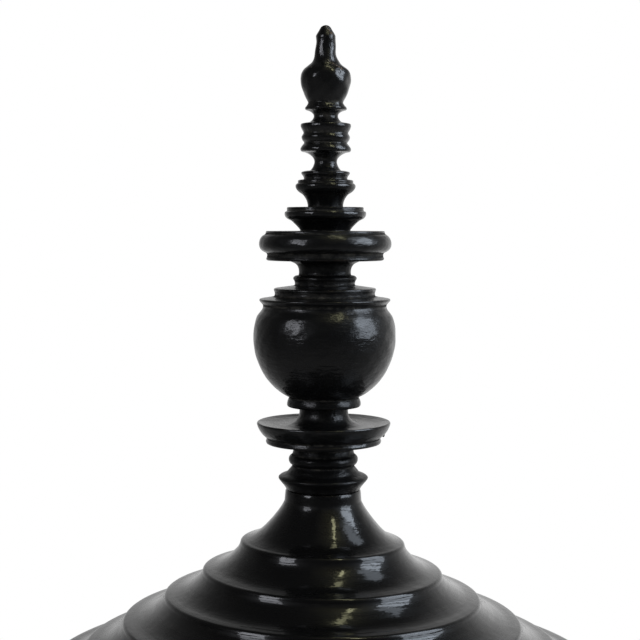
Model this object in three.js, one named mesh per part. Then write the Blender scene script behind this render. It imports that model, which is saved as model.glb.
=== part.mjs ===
// Covered lacquer offering vessel: a footed bowl, a lift-out tray, a stepped lid and a turned spire.
// Every piece is a ring or a solid turned about the Z axis. Millimetres, +Z up.
// The origin lies on the axis, in the plane that the foot stands on.
import * as THREE from 'three';

// Clearances and mesh counts
const seatGap = 0.3; // film of lacquer putty between stacked pieces
const fitGap = 0.35; // play round a peg in its socket, or a disc in its ring
const pegEndGap = 1; // air under the end of a peg
const spireSides = 20;
const hoopSides = 28;
const curveSteps = 3;

// Stand
const footRadius = 124;
const footHoopHeight = 14;
const footHoopWidth = 16;
const skirtHeight = 40;
const skirtInset = 6; // the skirt stands back from the edge of the foot hoop
const waistRadius = 50;
const waistBeadHeight = 12;
const waistBeadBulge = 7;
const standCupHeight = 28;
const standCupRadius = 74;
const standWall = 8;

// Bowl
const bowlRadius = 189;
const bowlWall = 5;
const baseShellHeight = 78;
const baseShellRadius = 181;
const baseSeatRadius = 70;
const bowlFloorRadius = 58;
const bowlFloorThickness = 9;
const bellyHoopHeight = 10;
const bellyHoopBulge = 3.5;
const bowlWallHeight = 48;
const bowlWallBulge = 2;
const rimHoopHeight = 12;
const rimHoopWidth = 14;
const rimOverhang = 5;

// Tray
const trayDepth = 38;
const trayWall = 5;
const traySideGap = 4;
const trayTaper = 6;
const trayFloorThickness = 5;
const trayLedgeWidth = 9;
const trayLedgeHeight = 4.5;
const flangeThickness = 6.5;
const flangeOverhang = 0.5; // the flange reaches a little past the rim of the bowl
const upstandHeight = 6;
const upstandWidth = 5;

// Lid
const lidOverhang = 3.5; // the lid reaches past the flange of the tray
const lidRimHeight = 20;
const lidRimWidth = 17;
const lidRimRoll = 5;
const lidRise = 94; // from the edge of the rim up to the edge of the crown
const tierSeatWidth = 7;
const foldWidth = 3; // the soft edge that a lacquered flare turns over
const foldHeight = 2.4;
const crownRadius = 51.6;
const crownHeight = 34.5;

// Spire, from its foot up: the widest radius and the height of each turned length, and its peg
const collarRadius = 28.3;
const collarHeight = 24.8;
const collarPegRadius = 12;
const collarPegReach = 26;
const dishRadius = 41.9;
const dishHeight = 26.2;
const dishPegRadius = 9;
const dishPegReach = 14;
const bulbRadius = 44.3;
const bulbHeight = 63.4;
const bulbPegRadius = 8;
const bulbPegReach = 15;
const coverRadius = 40.7;
const coverHeight = 11.9;
const discRadius = 41;
const discHeight = 33.3;
const discPegRadius = 9;
const discPegReach = 14; // how far it goes into the bulb, below the cover that it passes through
const upperCupRadius = 25.4;
const upperCupHeight = 14.4;
const upperCupPegRadius = 8;
const upperCupPegReach = 12;
const smallCupRadius = 18.7;
const smallCupHeight = 22;
const smallCupPegRadius = 5.5;
const smallCupPegReach = 8;
const spindleRadius = 15.9;
const spindleHeight = 29.6;
const spindlePegRadius = 4;
const spindlePegReach = 11;
const budRadius = 15.5;
const budHeight = 58.9;
const budPegRadius = 4;
const budPegReach = 11;

// The edges of the lid's tiers, from the top tier down, as shares of the way from crown to rim:
// how far out each edge lies, and how far down
const tierSpreadShares = [0.161, 0.324, 0.498, 0.663, 0.844, 1];
const tierFallShares = [0.193, 0.36, 0.523, 0.695, 0.84, 1];

// The two curves of a tier's flare, from its fold up to its top, and how far out its inner side is
// drawn to, as shares of its spread and its height
const tierFlareShares = [[0.48, 0.19, 0.135, 0.69], [0.03, 0.84, 0, 1]];
const tierInnerShare = 0.2;

// Where the hollow curve of a flare is drawn to, as shares of its spread and its height
const skirtHollowShares = [0.12, 0.2];
const baseHollowShares = [0.77, 0.06];

// Outlines of the turned pieces, from the bottom up, as shares of the widest radius and the height.
// A row of two is a corner. A row of four is a curve drawn towards its first pair, ending at its last.
const crownShares = [
  [0.805, 0.135, 0.72, 0.275], [0.61, 0.45, 0.531, 0.62], [0.484, 0.72, 0.466, 0.79],
  [0.458, 0.97], [0.449, 1],
];
const collarShares = [
  [0.82, 0], [0.84, 0.045], [0.955, 0.19], [0.99, 0.27], [1.005, 0.33, 0.95, 0.355],
  [0.785, 0.41, 0.69, 0.575], [0.675, 0.605], [0.755, 0.635, 0.765, 0.74], [0.765, 0.84, 0.695, 0.87],
  [0.675, 0.93], [0.67, 1],
];
const dishShares = [
  [0.445, 0], [0.46, 0.13], [0.86, 0.145], [0.885, 0.195], [0.85, 0.28], [0.955, 0.375, 1, 0.62],
  [0.985, 0.655], [0.73, 0.58], [0.54, 0.595], [0.375, 0.655, 0.362, 0.875], [0.365, 1],
];
const bulbShares = [
  [0.485, 0], [0.52, 0.012], [0.52, 0.04], [0.487, 0.095], [0.655, 0.147, 0.788, 0.26],
  [1, 0.455, 1, 0.685], [1, 0.865, 0.89, 0.965], [0.88, 1],
];
const coverShares = [
  [0.96, 0], [0.975, 0.07, 1, 0.2], [0.995, 0.3], [0.79, 0.41], [0.765, 0.47],
  [0.755, 0.63, 0.78, 0.77], [0.77, 0.85], [0.46, 1],
];
const discShares = [
  [0.455, 0], [0.45, 0.075, 0.478, 0.105], [0.478, 0.135], [0.455, 0.165], [0.398, 0.175],
  [0.375, 0.3, 0.43, 0.375], [0.5, 0.425], [0.56, 0.45], [0.875, 0.455], [0.895, 0.485],
  [0.875, 0.54], [0.885, 0.595], [0.965, 0.65], [1.012, 0.71, 0.992, 0.815], [0.975, 0.9, 0.925, 0.93],
  [0.9, 0.945], [0.895, 1],
];
const upperCupShares = [
  [0.6, 0], [0.67, 0.19, 0.83, 0.42], [0.93, 0.505], [1.005, 0.61, 0.99, 0.77], [0.985, 0.8],
  [0.93, 0.84], [0.935, 0.97], [0.92, 1],
];
const smallCupShares = [
  [0.575, 0], [0.595, 0.21, 0.755, 0.345], [0.945, 0.43, 0.985, 0.53], [0.995, 0.575],
  [0.975, 0.625], [0.905, 0.655], [0.92, 0.715], [0.88, 0.745], [0.715, 0.765],
  [0.7, 0.83, 0.785, 0.9], [0.82, 0.94, 0.79, 0.97], [0.65, 1],
];
const spindleShares = [
  [0.595, 0], [0.46, 0.065, 0.433, 0.175], [0.43, 0.29, 0.8, 0.372], [0.95, 0.39], [0.985, 0.42],
  [0.97, 0.455], [0.9, 0.485, 0.825, 0.555], [0.825, 0.575], [1, 0.645, 0.845, 0.765], [0.84, 0.79],
  [0.86, 0.84, 0.95, 0.9], [0.985, 0.935, 0.96, 0.965], [0.61, 1],
];
const budShares = [
  [0.62, 0], [0.5, 0.02, 0.478, 0.058], [0.485, 0.092, 0.66, 0.11], [0.81, 0.12], [0.84, 0.136],
  [0.81, 0.15], [0.73, 0.165, 0.698, 0.2], [1, 0.335, 1, 0.455], [0.99, 0.53, 0.725, 0.573],
  [0.455, 0.612, 0.405, 0.725], [0.395, 0.79], [0.4, 0.87], [0.385, 0.895], [0.2, 0.965],
  [0.12, 0.995, 0, 1],
];

// Radii that several pieces share
const rimRadius = bowlRadius + rimOverhang;
const mouthRadius = rimRadius - rimHoopWidth - traySideGap;
const flangeRadius = rimRadius + flangeOverhang;
const lidRadius = flangeRadius + lidOverhang;

// Materials
const lacquer = (color, roughness) => new THREE.MeshStandardMaterial({ color, roughness, metalness: 0 });
const blackLacquer = () => lacquer(0x17171a, 0.3);
const redLacquer = () => lacquer(0x6e1712, 0.38);

// Turning helpers
function pathPoints(rows) {
  const path = new THREE.Path();
  path.moveTo(...rows[0]);
  for (const row of rows.slice(1)) {
    if (row.length === 2) path.lineTo(...row);
    else path.quadraticCurveTo(...row);
  }
  return path.getPoints(curveSteps);
}

function scaledRows(shares, radius, height) {
  return shares.map((row) => row.map((share, place) => share * (place % 2 === 0 ? radius : height)));
}

function turned(name, rows, sides, material = blackLacquer()) {
  const geometry = new THREE.LatheGeometry(pathPoints(rows), sides);
  geometry.rotateX(Math.PI / 2);
  const mesh = new THREE.Mesh(geometry, material);
  mesh.name = name;
  return mesh;
}

function ring(name, outerRows, innerRows, sides = hoopSides, material = blackLacquer()) {
  return turned(name, [...outerRows, ...innerRows, outerRows[0]], sides, material);
}

// A hoop that is flat below and above, with its outer side rounded
function roundedHoop(name, radius, width, height) {
  const shoulder = radius - width / 3;
  const outerRows = [
    [shoulder, 0],
    [radius, 0, radius, height / 2],
    [radius, height, shoulder, height],
  ];
  const inner = radius - width;
  return ring(name, outerRows, [[inner, height], [inner, 0]]);
}

function disc(name, radius, thickness, material) {
  return turned(name, [[0, 0], [radius, 0], [radius, thickness], [0, thickness]], hoopSides, material);
}

// The soft edge at the foot of a flare, which ends where the hollow curve starts
function foldRows(radius) {
  return [[radius, 0], [radius, foldHeight, radius - foldWidth, foldHeight]];
}

// Lays groups of pieces one on another, each a putty film above the one below
function stack(layers) {
  const group = new THREE.Group();
  let level = 0;
  for (const { height, pieces } of layers) {
    for (const piece of pieces) {
      piece.position.z += level;
      group.add(piece);
    }
    level += height + seatGap;
  }
  return { group, height: level };
}

// Stand
const footHoop = () => roundedHoop('foot_hoop', footRadius, footHoopWidth, footHoopHeight);

function standSkirt() {
  const [outShare, upShare] = skirtHollowShares;
  const edge = footRadius - skirtInset;
  const bore = waistRadius - standWall;
  const hollow = waistRadius + (edge - waistRadius) * outShare;
  const outerRows = [...foldRows(edge), [hollow, skirtHeight * upShare, waistRadius, skirtHeight]];
  const innerRows = [[bore, skirtHeight], [bore, 0, edge - footHoopWidth, 0]];
  return ring('stand_skirt', outerRows, innerRows);
}

function waistBead() {
  const radius = waistRadius + waistBeadBulge;
  return roundedHoop('waist_bead', radius, waistBeadBulge + standWall, waistBeadHeight);
}

function standCup() {
  const lipLevel = standCupHeight - foldHeight;
  const bore = waistRadius - standWall;
  const outerRows = [
    [waistRadius, 0],
    [waistRadius, lipLevel / 2, standCupRadius - foldWidth, lipLevel],
    [standCupRadius, lipLevel, standCupRadius, standCupHeight],
  ];
  return ring('stand_cup', outerRows, [[bore, standCupHeight], [bore, 0]]);
}

// Bowl
const bowlFloor = () => disc('bowl_floor', bowlFloorRadius, bowlFloorThickness, redLacquer());

function bowlBaseShell() {
  const [outShare, upShare] = baseHollowShares;
  const hollow = baseSeatRadius + (baseShellRadius - baseSeatRadius) * outShare;
  const seam = bowlFloorRadius + fitGap;
  const outerRows = [
    [baseSeatRadius, 0],
    [hollow, baseShellHeight * upShare, baseShellRadius, baseShellHeight],
  ];
  const innerRows = [
    [baseShellRadius - bowlWall, baseShellHeight],
    [hollow - bowlWall, bowlFloorThickness, seam, bowlFloorThickness],
    [seam, 0],
  ];
  return ring('bowl_base_shell', outerRows, innerRows);
}

function bellyHoop() {
  const radius = baseShellRadius + bellyHoopBulge;
  return roundedHoop('belly_hoop', radius, bellyHoopBulge + bowlWall, bellyHoopHeight);
}

function bowlUpperWall() {
  const bulge = bowlRadius + bowlWallBulge;
  const middle = bowlWallHeight / 2;
  const outerRows = [[baseShellRadius, 0], [bulge, middle, bowlRadius, bowlWallHeight]];
  const innerRows = [
    [bowlRadius - bowlWall, bowlWallHeight],
    [bulge - bowlWall, middle, baseShellRadius - bowlWall, 0],
  ];
  return ring('bowl_wall', outerRows, innerRows);
}

const rimHoop = () => roundedHoop('bowl_rim_hoop', rimRadius, rimHoopWidth, rimHoopHeight);

// Tray: its flange lies on the rim of the bowl, and its wall and floor hang in the mouth
function trayWallRing() {
  const foot = mouthRadius - trayTaper;
  const ledge = foot - trayWall - trayLedgeWidth;
  const outerRows = [[foot, 0], [mouthRadius, trayDepth]];
  const innerRows = [
    [mouthRadius - trayWall, trayDepth],
    [foot - trayWall, trayLedgeHeight],
    [ledge, trayLedgeHeight],
    [ledge, 0],
  ];
  const mesh = ring('tray_wall', outerRows, innerRows, hoopSides, redLacquer());
  mesh.position.z = -trayDepth - seatGap;
  return mesh;
}

function trayFloor() {
  const radius = mouthRadius - trayTaper - trayWall - fitGap;
  const mesh = disc('tray_floor', radius, trayFloorThickness, redLacquer());
  mesh.position.z = -trayDepth + trayLedgeHeight;
  return mesh;
}

function trayFlange() {
  const edge = flangeRadius - flangeThickness / 2;
  const inner = mouthRadius - trayWall;
  const top = flangeThickness + upstandHeight;
  const outerRows = [
    [edge, 0],
    [flangeRadius, 0, flangeRadius, flangeThickness / 2],
    [flangeRadius, flangeThickness, edge, flangeThickness],
    [inner + upstandWidth, flangeThickness],
  ];
  const innerRows = [
    [inner + upstandWidth, top, inner + upstandWidth / 2, top],
    [inner, top, inner, flangeThickness],
    [inner, 0],
  ];
  return ring('tray_flange', outerRows, innerRows);
}

// Lid: a rim hoop, six flaring tiers and the crown that holds the spire
function lidRimHoop() {
  const inner = lidRadius - lidRimWidth;
  const outerRows = [
    [lidRadius - lidRimRoll, 0],
    [lidRadius, 0, lidRadius, lidRimRoll],
    [lidRadius, 2 * lidRimRoll, lidRadius - lidRimRoll, 2 * lidRimRoll],
    [lidRadius - lidRimRoll, lidRimHeight, lidRadius, lidRimHeight],
  ];
  return ring('lid_rim_hoop', outerRows, [[inner, lidRimHeight], [inner, 0]]);
}

function lidTier(name, edgeRadius, upperRadius, height) {
  const spread = edgeRadius - upperRadius;
  const flareRows = scaledRows(tierFlareShares, spread, height).map(
    ([outward, up, endOutward, endUp]) => [upperRadius + outward, up, upperRadius + endOutward, endUp],
  );
  const outerRows = [...foldRows(edgeRadius), ...flareRows];
  const innerRows = [
    [upperRadius - tierSeatWidth, height],
    [upperRadius + spread * tierInnerShare - tierSeatWidth, 0, edgeRadius - tierSeatWidth, 0],
  ];
  return ring(name, outerRows, innerRows);
}

function lidTiers() {
  const radii = tierSpreadShares.map((share) => crownRadius + (lidRadius - crownRadius) * share);
  const falls = tierFallShares.map((share) => lidRise * share);
  return radii.map((radius, index) => {
    const upperRadius = index === 0 ? crownRadius : radii[index - 1];
    const upperFall = index === 0 ? 0 : falls[index - 1];
    const height = falls[index] - upperFall - seatGap;
    return { height, pieces: [lidTier(`lid_tier_${index + 1}`, radius, upperRadius, height)] };
  });
}

function lidCrown() {
  const socket = socketFor(collarPegRadius, collarPegReach);
  const rows = [
    [0, 0],
    ...foldRows(crownRadius),
    ...scaledRows(crownShares, crownRadius, crownHeight),
    ...socketRows(socket, crownHeight),
  ];
  return turned('lid_crown', rows, hoopSides);
}

// Spire
function socketFor(pegRadius, pegReach) {
  return { radius: pegRadius + fitGap, depth: pegReach + pegEndGap };
}

function socketRows(socket, top) {
  return [[socket.radius, top], [socket.radius, top - socket.depth], [0, top - socket.depth]];
}

function pegRows(radius, length) {
  return [[0, -length], [radius, -length], [radius, 0]];
}

// One turned length: a peg below, its outline, and a socket above for the peg of the next
function turnedLength({ name, radius, height, shares, pegRadius, pegLength, socket }) {
  const rows = [...pegRows(pegRadius, pegLength), ...scaledRows(shares, radius, height)];
  if (socket) rows.push(...socketRows(socket, height));
  return { height, pieces: [turned(name, rows, spireSides)] };
}

// The cover is a ring threaded on the peg of the disc above it
function bulbCover() {
  const bore = discPegRadius + fitGap;
  const outerRows = scaledRows(coverShares, coverRadius, coverHeight);
  return ring('bulb_cover', outerRows, [[bore, coverHeight], [bore, 0]], spireSides);
}

function spireLayers() {
  const collar = turnedLength({
    name: 'spire_collar',
    radius: collarRadius,
    height: collarHeight,
    shares: collarShares,
    pegRadius: collarPegRadius,
    pegLength: collarPegReach,
    socket: socketFor(dishPegRadius, dishPegReach),
  });
  const dish = turnedLength({
    name: 'spire_dish',
    radius: dishRadius,
    height: dishHeight,
    shares: dishShares,
    pegRadius: dishPegRadius,
    pegLength: dishPegReach,
    socket: socketFor(bulbPegRadius, bulbPegReach),
  });
  const bulb = turnedLength({
    name: 'spire_bulb',
    radius: bulbRadius,
    height: bulbHeight,
    shares: bulbShares,
    pegRadius: bulbPegRadius,
    pegLength: bulbPegReach,
    socket: socketFor(discPegRadius, discPegReach),
  });
  const greatDisc = turnedLength({
    name: 'spire_disc',
    radius: discRadius,
    height: discHeight,
    shares: discShares,
    pegRadius: discPegRadius,
    pegLength: discPegReach + coverHeight + seatGap,
    socket: socketFor(upperCupPegRadius, upperCupPegReach),
  });
  const upperCup = turnedLength({
    name: 'spire_upper_cup',
    radius: upperCupRadius,
    height: upperCupHeight,
    shares: upperCupShares,
    pegRadius: upperCupPegRadius,
    pegLength: upperCupPegReach,
    socket: socketFor(smallCupPegRadius, smallCupPegReach),
  });
  const smallCup = turnedLength({
    name: 'spire_small_cup',
    radius: smallCupRadius,
    height: smallCupHeight,
    shares: smallCupShares,
    pegRadius: smallCupPegRadius,
    pegLength: smallCupPegReach,
    socket: socketFor(spindlePegRadius, spindlePegReach),
  });
  const spindle = turnedLength({
    name: 'spire_spindle',
    radius: spindleRadius,
    height: spindleHeight,
    shares: spindleShares,
    pegRadius: spindlePegRadius,
    pegLength: spindlePegReach,
    socket: socketFor(budPegRadius, budPegReach),
  });
  const bud = turnedLength({
    name: 'spire_bud',
    radius: budRadius,
    height: budHeight,
    shares: budShares,
    pegRadius: budPegRadius,
    pegLength: budPegReach,
  });
  const cover = { height: coverHeight, pieces: [bulbCover()] };
  return [collar, dish, bulb, cover, greatDisc, upperCup, smallCup, spindle, bud];
}

// The whole vessel, from the foot up
const bowl = stack([
  { height: footHoopHeight, pieces: [footHoop()] },
  { height: skirtHeight, pieces: [standSkirt()] },
  { height: waistBeadHeight, pieces: [waistBead()] },
  { height: standCupHeight, pieces: [standCup()] },
  { height: baseShellHeight, pieces: [bowlBaseShell(), bowlFloor()] },
  { height: bellyHoopHeight, pieces: [bellyHoop()] },
  { height: bowlWallHeight, pieces: [bowlUpperWall()] },
  { height: rimHoopHeight, pieces: [rimHoop()] },
]);
const tray = stack([{ height: flangeThickness, pieces: [trayFlange(), trayWallRing(), trayFloor()] }]);
const lid = stack([
  { height: lidRimHeight, pieces: [lidRimHoop()] },
  ...lidTiers().reverse(),
  { height: crownHeight, pieces: [lidCrown()] },
]);
const spire = stack(spireLayers());

const vessel = new THREE.Group();
let level = 0;
for (const { group, height } of [bowl, tray, lid, spire]) {
  group.position.z = level;
  vessel.add(group);
  level += height;
}

export default vessel;
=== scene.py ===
# Looks of the covered lacquer offering vessel: the fine outline and the lacquer of every turned piece.
# Metres, in the frame's own axes: +Z up along the turning axis, the foot on z = 0.
import math
import bpy
import numpy as np
from mathutils import Matrix, Vector


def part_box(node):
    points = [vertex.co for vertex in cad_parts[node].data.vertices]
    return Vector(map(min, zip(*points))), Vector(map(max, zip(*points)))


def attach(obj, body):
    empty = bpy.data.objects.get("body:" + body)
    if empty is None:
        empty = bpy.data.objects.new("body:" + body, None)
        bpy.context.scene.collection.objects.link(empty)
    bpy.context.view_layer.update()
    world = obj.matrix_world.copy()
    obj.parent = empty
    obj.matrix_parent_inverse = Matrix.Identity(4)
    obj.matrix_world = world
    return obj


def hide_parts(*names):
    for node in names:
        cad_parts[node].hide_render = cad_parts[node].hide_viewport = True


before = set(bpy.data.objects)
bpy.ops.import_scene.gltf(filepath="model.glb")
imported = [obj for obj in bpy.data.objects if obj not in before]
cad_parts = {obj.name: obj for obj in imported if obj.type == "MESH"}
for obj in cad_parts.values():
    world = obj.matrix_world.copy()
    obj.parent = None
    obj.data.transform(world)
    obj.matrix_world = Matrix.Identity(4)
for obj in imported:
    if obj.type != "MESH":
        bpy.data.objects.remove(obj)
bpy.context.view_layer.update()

MM = 0.001
SEAT_GAP = 0.3 * MM  # film of putty between stacked pieces in the frame
LEVEL_TOLERANCE = 0.05 * MM

# How finely an outline is drawn, softened and turned
SHARP_TURN = math.radians(48)
STRAIGHT_RATIO = 2.5  # a stretch this much longer than its neighbour is straight
PULL_SHARE = 1.6  # how far, in lengths of its neighbour, a stretch is bent by it
SOFT_REACH = 3  # softnesses to each side that the rounding takes in
SPIRE_STEP = 0.1 * MM
SPIRE_SOFTNESS = 0.42 * MM
SPIRE_TURN_SEGMENTS = 144
RING_STEP = 0.2 * MM
RING_SOFTNESS = 0.7 * MM
RING_TURN_SEGMENTS = 256
TURN_PER_ROW = math.radians(7)
SPIRE_ROW_GAP = 1.6 * MM
RING_ROW_GAP = 3.5 * MM
BEND_REACH = 0.9 * MM  # radius of bend that counts as a full edge or a full hollow


# Reading a turned node's outline

MERIDIAN_TURN = 1e-4  # so that the cut passes beside the mesh's corners
WELD = 1e-6
REPEAT_REACH = 10 * WELD  # points closer than this are one
STRAIGHT_BEND = 3e-3  # sine of the turn below which a point lies on a straight stretch


def outline(node):
    """A turned node's outline on one side of the axis, up its outer side, as rows of radius and height."""
    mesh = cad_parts[node].data
    mesh.calc_loop_triangles()
    corners = np.array([v.co for v in mesh.vertices], float)
    triangles = np.array([t.vertices for t in mesh.loop_triangles], int)
    spots, index = np.unique(np.round(corners / WELD).astype(int), axis=0, return_inverse=True)
    spots = spots * WELD
    forward = np.array([math.cos(MERIDIAN_TURN), math.sin(MERIDIAN_TURN), 0.0])
    across = np.array([-forward[1], forward[0], 0.0])
    side = spots @ across
    links = {}
    for triangle in index.reshape(-1)[triangles]:
        cut = [
            (min(a, b), max(a, b))
            for a, b in zip(triangle, np.roll(triangle, -1))
            if (side[a] >= 0) != (side[b] >= 0)
        ]
        if len(cut) == 2:
            links.setdefault(cut[0], []).append(cut[1])
            links.setdefault(cut[1], []).append(cut[0])
    loops = []
    left = set(links)
    while left:
        walk = [min(left)]
        left.discard(walk[0])
        while True:
            ahead = [key for key in links[walk[-1]] if key in left]
            if not ahead:
                break
            walk.append(min(ahead))
            left.discard(walk[-1])
        a, b = np.array(walk).T
        share = (side[a] / (side[a] - side[b]))[:, None]
        points = spots[a] + (spots[b] - spots[a]) * share
        loops.append(np.column_stack([points @ forward, points[:, 2]]))
    loop = max(loops, key=lambda rows: rows[:, 0].min())
    return tidied(one_side(loop) if loop[:, 0].min() < -WELD else upward(loop))


def upward(loop):
    """A closed outline that goes up on its outer side, from its lowest inner corner."""
    r, z = loop.T
    area = np.sum(r * np.roll(z, -1) - np.roll(r, -1) * z)
    if area < 0:
        loop = loop[::-1]
    start = np.lexsort((loop[:, 0], np.round(loop[:, 1] / LEVEL_TOLERANCE)))[0]
    return np.roll(loop, -start, axis=0)


def one_side(loop):
    """The half of a solid's outline that goes from the axis below, out and up, to the axis above."""
    r, z = upward(loop).T
    rows = []
    for here in range(len(r)):
        ahead = (here + 1) % len(r)
        if r[here] > WELD:
            rows.append((r[here], z[here]))
        if (r[here] > WELD) != (r[ahead] > WELD):
            share = r[here] / (r[here] - r[ahead]) if r[here] != r[ahead] else 0.0
            rows.append((0.0, z[here] + (z[ahead] - z[here]) * share))
    rows = np.array(rows)
    on_axis = np.flatnonzero(rows[:, 0] == 0)
    start = min(on_axis, key=lambda place: rows[place, 1])
    rows = np.roll(rows, -start, axis=0)
    if rows[1, 0] == 0:
        rows = np.roll(rows, -1, axis=0)
    return rows


def tidied(rows):
    """Rows without repeated points and without points on a straight stretch."""
    kept = [rows[0]]
    for here in range(1, len(rows)):
        if np.linalg.norm(rows[here] - kept[-1]) > REPEAT_REACH:
            kept.append(rows[here])
    thin = [kept[0]]
    for here in range(1, len(kept) - 1):
        before = kept[here] - thin[-1]
        after = kept[here + 1] - kept[here]
        bend = abs(before[0] * after[1] - before[1] * after[0])
        if bend > STRAIGHT_BEND * np.linalg.norm(before) * np.linalg.norm(after):
            thin.append(kept[here])
    return np.array(thin + [kept[-1]])


# Softening a run of outline points into a lacquered curve


def directions(points):
    """The tangents just before and just after each point: one direction where the outline is smooth."""
    steps = np.diff(points, axis=0)
    lengths = np.linalg.norm(steps, axis=1)
    chords = steps / lengths[:, None]
    before = np.vstack([chords[:1], chords])
    after = np.vstack([chords, chords[-1:]])
    cosine = np.clip(np.sum(chords[:-1] * chords[1:], axis=1), -1, 1)
    smooth = np.concatenate([[False], np.arccos(cosine) < SHARP_TURN, [False]])
    inner = chords[:-1] * lengths[1:, None] + chords[1:] * lengths[:-1, None]
    inner /= np.linalg.norm(inner, axis=1)[:, None]
    longer = (lengths[1:] / lengths[:-1])[:, None]
    inner = np.where(longer > STRAIGHT_RATIO, chords[1:], inner)
    inner = np.where(longer < 1 / STRAIGHT_RATIO, chords[:-1], inner)
    for place in np.flatnonzero(smooth):
        before[place] = after[place] = inner[place - 1]
    for place in range(len(points)):
        if smooth[place]:
            continue
        if place > 0 and smooth[place - 1]:
            before[place] = unit(2 * chords[place - 1] - after[place - 1])
        if place < len(points) - 1 and smooth[place + 1]:
            after[place] = unit(2 * chords[place] - before[place + 1])
    return before, after, lengths


def unit(vector):
    return vector / np.linalg.norm(vector)


def softened(points, step, softness):
    """A dense curve through the points, with its corners rounded, and the place of each point along it."""
    before, after, lengths = directions(points)
    drawn = [points[:1]]
    marks = [0]
    for here, length in enumerate(lengths):
        count = max(2, int(math.ceil(length / step)))
        t = np.arange(1, count + 1)[:, None] / count
        start, end = points[here], points[here + 1]
        pull = min(length, PULL_SHARE * lengths[max(here - 1, 0)]) * after[here]
        push = min(length, PULL_SHARE * lengths[min(here + 1, len(lengths) - 1)]) * before[here + 1]
        curve = (
            (2 * t**3 - 3 * t**2 + 1) * start
            + (t**3 - 2 * t**2 + t) * pull
            + (3 * t**2 - 2 * t**3) * end
            + (t**3 - t**2) * push
        )
        drawn.append(curve)
        marks.append(marks[-1] + count)
    drawn = np.vstack(drawn)
    along = np.concatenate([[0], np.cumsum(np.linalg.norm(np.diff(drawn, axis=0), axis=1))])
    count = int(round(along[-1] / step))
    even = np.linspace(0, along[-1], count + 1)
    curve = np.column_stack([np.interp(even, along, drawn[:, side]) for side in (0, 1)])
    reach = int(math.ceil(SOFT_REACH * softness / step))
    head = 2 * curve[0] - curve[1 : reach + 1][::-1]
    tail = 2 * curve[-1] - curve[-reach - 1 : -1][::-1]
    if abs(curve[-1, 0]) < WELD:
        tail[:, 1] = curve[-reach - 1 : -1][::-1][:, 1]
    weights = np.exp(-0.5 * (np.arange(-reach, reach + 1) * step / softness) ** 2)
    weights /= weights.sum()
    wide = np.vstack([head, curve, tail])
    curve = np.column_stack([np.convolve(wide[:, side], weights, "valid") for side in (0, 1)])
    places = [int(round(along[mark] / along[-1] * count)) for mark in marks]
    return curve, places


class Skin:
    """A softened run with what each of its points needs: its normal, its bend and its way along the run."""

    def __init__(self, points, step, softness, row_gap):
        self.curve, self.places = softened(np.array(points), step, softness)
        slope = np.gradient(self.curve, axis=0)
        slope /= np.linalg.norm(slope, axis=1)[:, None]
        self.normal = np.column_stack([slope[:, 1], -slope[:, 0]])
        self.heading = np.unwrap(np.arctan2(slope[:, 1], slope[:, 0]))
        self.bend = np.gradient(self.heading) / step
        self.along = np.arange(len(self.curve)) * step
        self.rows_per_gap = row_gap / step

    def piece(self, start, end):
        """The rows that stand for the stretch between two places, closer together where it bends."""
        kept = [start]
        turned = 0.0
        for here in range(start + 1, end):
            turned += abs(self.heading[here] - self.heading[here - 1])
            if turned >= TURN_PER_ROW or here - kept[-1] >= self.rows_per_gap:
                kept.append(here)
                turned = 0.0
        if len(kept) > 1 and end - kept[-1] < 2:
            kept.pop()
        kept.append(end)
        return Rows(self.curve[kept], self.normal[kept], self.normal[kept], self.bend[kept], self.along[kept])


class Rows:
    """Outline points with the normals on both sides of each, their bend and their way along the skin."""

    def __init__(self, points, before, after, bend, along):
        self.points = np.array(points, float)
        self.before = np.array(before, float)
        self.after = np.array(after, float)
        self.bend = np.array(bend, float)
        self.along = np.array(along, float)


def straight(points, along):
    """Rows for straight stretches, such as a peg, a socket or a seat."""
    points = np.array(points, float)
    if len(points) == 1:
        flat = np.zeros((1, 2))
        return Rows(points, flat, flat, [0], [along])
    steps = np.diff(points, axis=0)
    steps /= np.linalg.norm(steps, axis=1)[:, None]
    normal = np.column_stack([steps[:, 1], -steps[:, 0]])
    before = np.vstack([normal[:1], normal])
    after = np.vstack([normal, normal[-1:]])
    return Rows(points, before, after, np.zeros(len(points)), np.full(len(points), along))


# Hand work: the tiers of the lid aren't quite level, central or round

SLACK_LEVELS = [0.285, 0.35, 0.362, 0.398]  # heights between which the lid's tiers go off true
SLACK_RADII = [0.045, 0.12]  # and radii between which they shift
SLACK_SLOPE = 0.0165  # the tiers lie lower on the right
SLACK_SHIFT = 0.3 * MM  # and stand out a little more there
LOBES = [(2, 0.9, 0.4), (3, 0.55, 2.1), (5, 0.3, 4.0), (9, 0.1, 1.3)]  # lobes round the axis, share, start
LOBE_TWIST = 20  # radians a metre up
LOBE_SHARE = 0.0022  # of the radius
SPIRE_LOBE_SHARE = 0.003
# Heights over which the lobes fade out and come back: at the rims that fit together, and at the spire's joint
RIM_LEVELS = [(0.17, 0.2), (0.27, 0.3)]
JOINT_LEVELS = [(0.37, 0.385), (0.402, 0.41)]
LUMPS = [(410, 250, 530, 0.3), (-330, 480, 390, 2.2), (620, 170, -560, 4.4)]  # radians a metre, and a start
SPIRE_LUMP = 0.035 * MM
BUD_LUMP = 0.13 * MM
BUD_LEVELS = [0.628, 0.645]  # heights between which the lumps of the bud set in
LUMP_CORE = 4 * MM  # radius within which the lumps grow no steeper
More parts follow.
